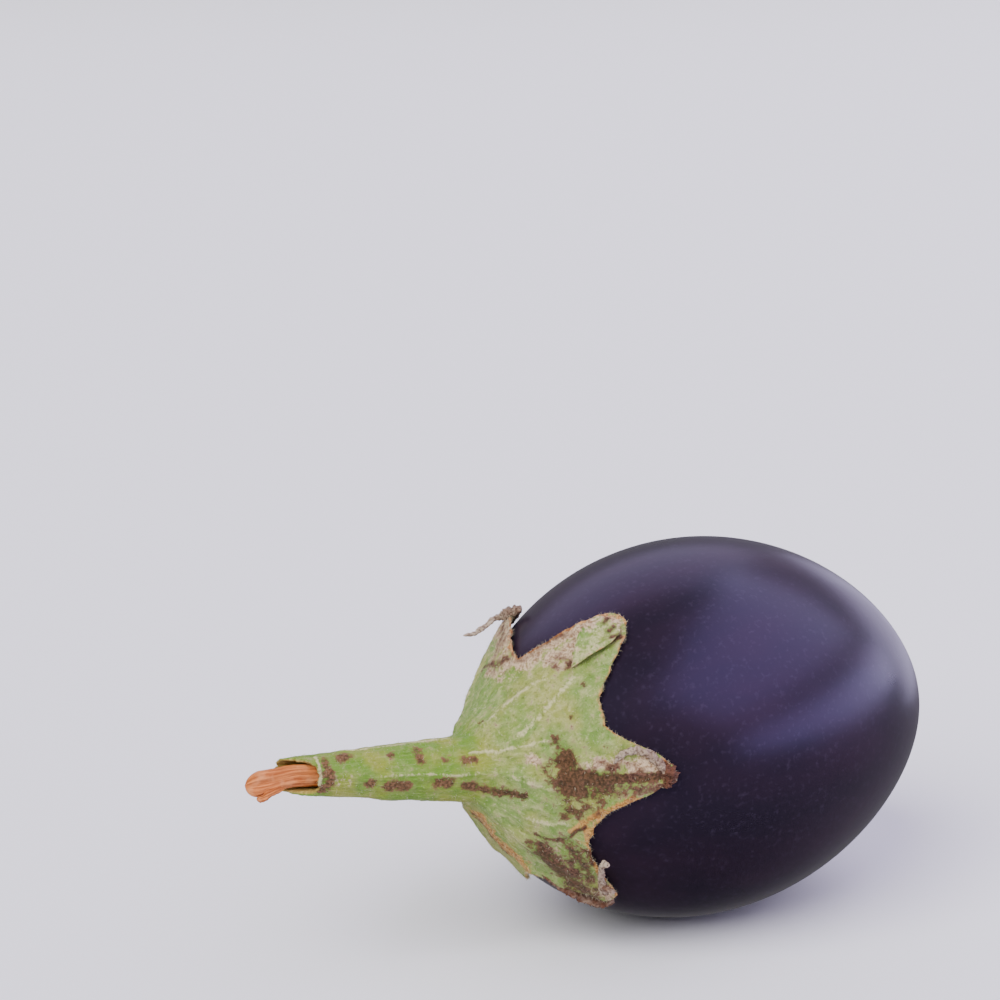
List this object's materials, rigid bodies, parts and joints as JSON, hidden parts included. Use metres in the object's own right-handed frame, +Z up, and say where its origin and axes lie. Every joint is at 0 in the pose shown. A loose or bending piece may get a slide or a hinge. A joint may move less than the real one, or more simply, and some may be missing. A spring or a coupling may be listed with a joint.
{
  "type": "eggplant",
  "caption": "Oval purple eggplant lying on its side, with a green star-shaped calyx whose dry tips curl, and a short ribbed stem ending in bare wood. Scenery and food prop.",
  "frame": {"origin": "middle of the small flat spot on which the fruit rests", "axes": "+X along the fruit from its stem to its blossom end; +Z up; the side the picture shows faces -Y"},
  "size_m": [0.1709, 0.0867, 0.0875],
  "materials": {
    "fruit_skin": "satin",
    "green_tissue": "matte",
    "bare_wood": "matte"
  },
  "bodies": {
    "root": {"fruit": "fruit_skin", "calyx": "green_tissue", "stem": "green_tissue", "stem_wood": "bare_wood"}
  },
  "joints": []
}
